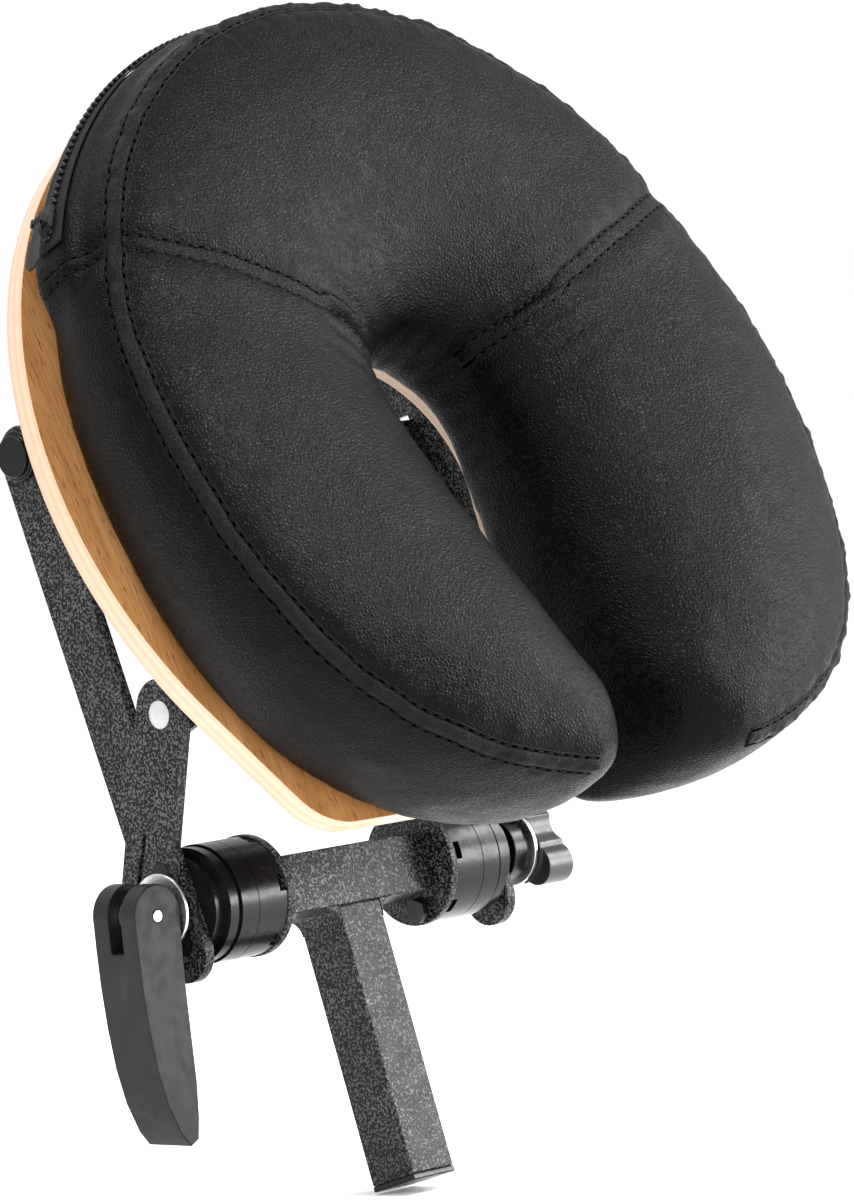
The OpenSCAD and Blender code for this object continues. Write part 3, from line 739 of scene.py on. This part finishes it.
def dress(ob):
    """Seam valleys, puckers and soft unevenness, moved along the surface's normals."""
    me = ob.data
    co = co_of(me)
    b = to_board(co)
    ang, er, edge, radial = seam_distances(b)
    low = np.array([fbm(p, 62, 3.1) for p in b])
    mid = np.array([fbm(p, 21, 9.7) for p in b])
    free = fade_in(b[:, 2], 13, 12)
    d = SAG * low + DIMPLE * mid

    # Edge seam: a valley under the tape, with short puckers on both sides
    on = fade_out(np.abs(ang), 168, 6)
    s_edge = np.radians(ang) * er
    pucker = np.sin(s_edge * 2 * np.pi / 11 + 3.2 * mid) * 0.6
    pucker += np.sin(s_edge * 2 * np.pi / 6.3 + 2 * low) * 0.4
    d -= on * EDGE_VALLEY * hump(edge, 0, VALLEY_W)
    d += on * EDGE_PUCKER * pucker * hump(edge, 6, 5.0)

    # Radial seams
    for sign, (across, along) in radial.items():
        there = fade_in(along, -12, 6) * fade_out(along, SEAM_W + 4, 8) * fade_in(b[:, 2], 16, 8)
        dist = np.abs(across)
        d -= there * SEAM_VALLEY * hump(dist, 0, VALLEY_W)
        pucker = np.sin(along * 2 * np.pi / 9.5 + 2.6 * mid + sign) * 0.6
        pucker += np.sin(along * 2 * np.pi / 5.4 + sign) * 0.3
        d += there * SEAM_PUCKER * pucker * hump(dist, 5.5, 4.5)
        end = hump(along, SEAM_W - 22, 16) * hump(across, 0, 17)
        d += there * GATHER * end * np.sin(across * 2 * np.pi / 8.5 + along * 0.06)

    # Gathers down the wall of the opening
    turn = np.arctan2(b[:, 0], b[:, 1])
    near = hump(np.hypot(b[:, 0], b[:, 1]), FACE_R, 9) * fade_out(b[:, 2], 46, 14) * free
    d += near * RIM_FOLD * np.sin(turn * 21 + 2.5 * low)

    out = to_board(co + normals_of(me) * (d * free)[:, None] / 1000)
    out[:, 2] = np.maximum(out[:, 2], BASE_N + 0.06)
    # A wall that lies just inside the zip's arc
    a = np.degrees(np.arctan2(out[:, 0], out[:, 1]))
    r = np.hypot(out[:, 0], out[:, 1])
    band = fade_out(np.abs(out[:, 2] - ZIP_N), 15, 7) * fade_out(np.abs(a), ZIP_A + 12, 10)
    band = band * band * (3 - 2 * band)
    want = np.where(r > 125, ZIP_R - 0.35, r)
    out[:, :2] *= ((r + (want - r) * band) / np.maximum(r, 1e-6))[:, None]
    set_co(me, to_row(out))


cover = make_cover()
dress(cover)
cover.data.materials.clear()
cover.data.materials.append(LEATHER)
shade_smooth(cover.data)
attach(cover, "cushion")
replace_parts(cover, "cushion_crown", "cushion_lobe_left", "cushion_lobe_right")

TREE = BVHTree.FromPolygons(
    [v.co.copy() for v in cover.data.vertices], [tuple(p.vertices) for p in cover.data.polygons]
)


def on_cover(p):
    """Nearest cover point and its normal, in board axes, for a board point."""
    loc, nor, _, _ = TREE.find_nearest(Vector(to_row(p)))
    return to_board(loc), np.array(nor) @ AXES.T


def relax(line, times):
    """Smooths a list of points, ends fixed."""
    line = np.array(line)
    for _ in range(times):
        line[1:-1] = (line[:-2] + 2 * line[1:-1] + line[2:]) / 4
    return line


def rail(points):
    """Points, normals and across directions of a line laid on the cover."""
    pairs = [on_cover(p) for p in points]
    pts = relax([p for p, _ in pairs], 6)
    nrm = relax([n for _, n in pairs], 18)
    nrm /= np.linalg.norm(nrm, axis=1, keepdims=True)
    tan = np.gradient(pts, axis=0)
    tan /= np.linalg.norm(tan, axis=1, keepdims=True)
    acr = np.cross(nrm, tan)
    acr /= np.linalg.norm(acr, axis=1, keepdims=True)
    return pts, nrm, acr


# Half of the tape's section, from its edge to its middle: a thin lip, a stitch line pressed
# in and a raised middle. Each point is its share of the half width and its height in mm.
HALF_PROFILE = [(1.0, -0.5), (0.98, 0.25), (0.92, 0.5), (0.85, 0.3), (0.74, 0.08),
                (0.62, 0.35), (0.5, 0.85), (0.25, 1.15)]
PROFILE = [(-x, h) for x, h in HALF_PROFILE] + [(0.0, 1.25)] + HALF_PROFILE[::-1]
STITCH_COLS = (4, 12)
GROOVE_SHADE_COLS = (3, 4, 11, 12)  # strips on both sides of each stitch line, which take the near-black painted shade of the seam's groove


def tape_rows(points, half, pucker, seed, lift=1.0):
    """Sections of a tape laid along the points, and the length up to each section."""
    pts, nrm, acr = rail(points)
    step = np.linalg.norm(np.diff(pts, axis=0), axis=1)
    s = np.concatenate([[0], np.cumsum(step)])
    rows = []
    for k in range(len(pts)):
        n1 = noise.noise(Vector((s[k] / 7.0, seed, 0.0)))
        n2 = noise.noise(Vector((s[k] / 16.0, seed, 5.0)))
        w = half * (1 + 0.05 * n1)
        row = []
        for x, h in PROFILE:
            q, qn = on_cover(pts[k] + acr[k] * (x * w + 0.45 * n2))
            n3 = noise.noise(Vector((s[k] / 2.8, seed, 2.0 * x)))
            puff = 1 + pucker * (n1 + 0.8 * n3) * (1 - abs(x))
            qn = qn + nrm[k]
            qn /= np.linalg.norm(qn)
            row.append(q + qn * (h * lift * puff if h > 0 else h))
        rows.append(row)
    return np.array(rows), s


def lay_tape(name, rows, mat):
    k, m = rows.shape[:2]
    verts = to_row(rows.reshape(-1, 3))
    ob = add(name, verts, tube_faces(k, m), mat, "cushion")
    # Material slot 1 is the near-black painted shade in the grooves beside each stitch line
    ob.data.materials.append(SEAM_GROOVE_SHADE)
    for j in range(k - 1):
        for i in GROOVE_SHADE_COLS:
            ob.data.polygons[j * m + i].material_index = 1
    face_outwards(ob.data)
    return ob


THREAD_R, THREAD_ARCH, THREAD_SINK = 0.34, 0.34, 0.12
STITCH_PITCH, STITCH_SHARE = 4.3, 0.74  # the rest of the pitch is under the leather
STITCH_RINGS = STITCH_SIDES = 6


def stitch(a, b, up, verts, faces):
    """A short thread from a to b that dips into the leather at both ends."""
    d = b - a
    side = np.cross(up, d / np.linalg.norm(d))
    side /= np.linalg.norm(side)
    faces += tube_faces(STITCH_RINGS, STITCH_SIDES, len(verts))
    for j in range(STITCH_RINGS):
        q = j / (STITCH_RINGS - 1)
        arch = math.sin(math.pi * q)
        c = a + d * q + up * (THREAD_ARCH * arch - THREAD_SINK)
        r = THREAD_R * (0.55 + 0.45 * max(arch, 0) ** 0.5)
        for i in range(STITCH_SIDES):
            f = 2 * math.pi * i / STITCH_SIDES
            verts.append(c + side * r * math.cos(f) + up * r * 0.8 * math.sin(f))


def stitches(rows, s, verts, faces):
    """Two lines of stitches along a tape."""
    for col in STITCH_COLS:
        line = rows[:, col]
        across = rows[:, col + 1] - rows[:, col - 1]

        def at(x):
            return np.array([np.interp(x, s, line[:, i]) for i in range(3)])

        t, length = 1.5, STITCH_PITCH * STITCH_SHARE
        while t + length < s[-1] - 1:
            a, b = at(t), at(t + length)
            k = min(int(np.searchsorted(s, t)), len(s) - 2)
            up = np.cross(across[k], line[k + 1] - line[k])
            up /= max(np.linalg.norm(up), 1e-9)
            if np.dot(up, on_cover(a)[1]) < 0:
                up = -up
            stitch(a, b, up, verts, faces)
            t += STITCH_PITCH


thread_verts, thread_faces = [], []

EDGE_END_A = 165.5
edge_pts = []
for a in np.linspace(-EDGE_END_A, EDGE_END_A, 630):
    u, v = outer_pt(a) * 0.012
    edge_pts.append(section(a, 1.0) + np.array([u, v, -1.0]))
rows, s = tape_rows(edge_pts, 4.1, 0.9, 1.7)
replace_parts(lay_tape("edge_tape", rows, TAPE), "edge_strip")
stitches(rows, s, thread_verts, thread_faces)

for sign, side in ((-1, "left"), (1, "right")):
    a = sign * SEAM_A
    top = [section(a, t) for t in np.linspace(1.03, 2.93, 190)]
    rows, s = tape_rows(top, 3.7, 0.3, 4.4 + sign, 0.5)
    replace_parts(lay_tape("seam_tape_" + side, rows, LEATHER), "seam_strip_" + side)
    stitches(rows, s, thread_verts, thread_faces)
    wall = [section(a, t) for t in np.linspace(0.1, 0.93, 40)]
    rows, s = tape_rows(wall, 3.0, 0.15, 7.4 + sign, 0.5)
    lay_tape("side_seam_" + side, rows, LEATHER)
    stitches(rows, s, thread_verts, thread_faces)

add("stitching", to_row(thread_verts), thread_faces, THREAD, "cushion")

# ---- Zip ----


def arc_point(a, r, n):
    """Point at angle a and radius r about the cushion's middle."""
    t = math.radians(a)
    return np.array([r * math.sin(t), r * math.cos(t), n])


# The zip tape's section: height along n from the middle, and height over the zip's arc
ZIP_HALF_PROFILE = [(6.0, 0.05), (5.9, 0.5), (5.2, 0.62), (4.6, 0.42),
                    (3.9, 0.55), (2.2, 0.45), (1.9, 0.3)]
ZIP_PROFILE = [(-x, h) for x, h in ZIP_HALF_PROFILE] + ZIP_HALF_PROFILE[::-1]
ZIP_STEPS = 200

# A tooth seen from outside: distance from its row's middle and place along the zip
TOOTH = [(2.1, -0.55), (2.1, 0.55), (0.7, 0.42), (0.1, 0.75),
         (-0.45, 0.5), (-0.45, -0.5), (0.1, -0.75), (0.7, -0.42)]
TOOTH_LEVELS = ((0.0, 1.0), (1.0, 1.0), (1.4, 0.72))  # height, and size there
TOOTH_BASE, TOOTH_PITCH = 0.6, 0.62  # millimetres over the arc, degrees
TOOTH_BEVEL = 0.00012


def zip_tape():
    """Woven tape along the wall with a raised hem, a stitch groove and a bed for the teeth."""
    verts = []
    for k in range(ZIP_STEPS):
        a = -ZIP_A + 2 * ZIP_A * k / (ZIP_STEPS - 1)
        ripple = 0.12 * noise.noise(Vector((a * 0.9, 3.0, 1.0)))
        for dn, h in ZIP_PROFILE:
            loose = ripple if abs(dn) > 3 and h > 0.1 else 0
            verts.append(arc_point(a, ZIP_R + h + loose, ZIP_N + dn))
    faces = tube_faces(ZIP_STEPS, len(ZIP_PROFILE))
    ob = add("zip_tape_woven", to_row(verts), faces, ZIPTAPE, "cushion")
    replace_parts(ob, "zip_tape")


def tooth(a, side, verts, faces):
    """A tooth with a body, a neck and a head, smaller on top, on one side of the zip."""
    faces += tube_faces(len(TOOTH_LEVELS), len(TOOTH), len(verts))
    foot = ZIP_R + TOOTH_BASE
    for h, k in TOOTH_LEVELS:
        for x, y in TOOTH:
            turn = math.degrees(y * k / (foot + h))
            verts.append(arc_point(a + turn, foot + h, ZIP_N + side * (0.55 + (x - 0.8) * k)))


def zip_teeth():
    """Two rows of moulded teeth that mesh on the middle line."""
    verts, faces = [], []
    for k in range(int((2 * ZIP_A - 3) / TOOTH_PITCH)):
        tooth(-ZIP_A + 1.5 + TOOTH_PITCH * k, 1 if k % 2 else -1, verts, faces)
    ob = add("zip_teeth_meshed", to_row(verts), faces, ZIPTOOTH, "cushion")
    face_outwards(ob.data)
    bm = bmesh.new()
    bm.from_mesh(ob.data)
    sharp = [e for e in bm.edges if len(e.link_faces) == 2 and e.calc_face_angle(0) > 0.6]
    bmesh.ops.bevel(
        bm, geom=sharp, offset=TOOTH_BEVEL, segments=1, affect="EDGES", clamp_overlap=True
    )
    bm.to_mesh(ob.data)
    bm.free()
    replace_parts(ob, "zip_teeth")


zip_tape()
zip_teeth()
polish("zip_slider", ZIPTOOTH, "zip_runner", 0.35, name="zip_slider_body")
polish("zip_pull", ZIPTOOTH, "zip_tab", 0.3, name="zip_pull_tab")

# ---- Board ----

# Flat faces are shaded flat, so that the veneer and the ply edge meet on the rounding
plywood = polish("board", BEECH, "head", 1.6, 4, "plywood_board").data
if "custom_normal" in plywood.attributes:
    plywood.attributes.remove(plywood.attributes["custom_normal"])
for face in plywood.polygons:
    face.use_smooth = abs(face.normal.dot(Vector(N_AX))) < 0.98
paint("hook_strips", HOOK)
paint("loop_strips", HOOK)

# ---- Steel, mouldings and fasteners ----

PARTS = [
    ("post_tube", HAMMER, "hammertone_steel", "post", 1.0),
    ("crossbar", HAMMER, "hammertone_steel", "post", 1.0),
    ("neck_gusset", HAMMER, "hammertone_steel", "post", 0.3),
    ("end_flange_left", HAMMER, "hammertone_steel", "post", 0.5),
    ("end_flange_right", HAMMER, "hammertone_steel", "post", 0.5),
    ("post_end_plug", GLOSS, "black_plastic", "post", 0.5),
    ("flange_bolts", BLACKZINC, "black_zinc", "post", 0.35),
    ("fixed_clutch_left", GLOSS, "black_plastic", "post", 0.7),
    ("fixed_clutch_right", GLOSS, "black_plastic", "post", 0.7),
    ("through_rod", ZINC, "zinc", "post", 0.3),
    ("cam_washer", ZINC, "zinc", "post", 0.3),
    ("knob_spacer", GLOSS, "black_plastic", "post", 0.4),
    ("knob_washer", ZINC, "zinc", "post", 0.3),
    ("rod_end_nut", ZINC, "zinc", "post", 0.4),
    ("side_plate_left", HAMMER, "hammertone_steel", "head", 0.6),
    ("side_plate_right", HAMMER, "hammertone_steel", "head", 0.6),
    ("moving_clutch_left", GLOSS, "black_plastic", "head", 0.7),
    ("moving_clutch_right", GLOSS, "black_plastic", "head", 0.7),
    ("bracket_left", HAMMER, "hammertone_steel", "head", 0.5),
    ("bracket_right", HAMMER, "hammertone_steel", "head", 0.5),
    ("plate_rivets", RIVET, "rivet_grey", "head", 0.5),
    ("pivot_bolts", ZINC, "zinc", "head", 0.3),
    ("pivot_caps", GLOSS, "black_plastic", "head", 0.5),
    ("bracket_screws", ZINC, "zinc", "head", 0.25),
    ("cam_lever", LEVER, "lever_coat", "lever", 1.3),
    ("lever_pin", ZINC, "zinc", "lever", 0.35),
    ("star_knob", SATIN, "satin_knob", "knob", 1.6),
    ("knob_insert", BRASS, "brass", "knob", 0.25),
]
for node, mat, slot, body, width in PARTS:
    polish(node, mat, body, width)
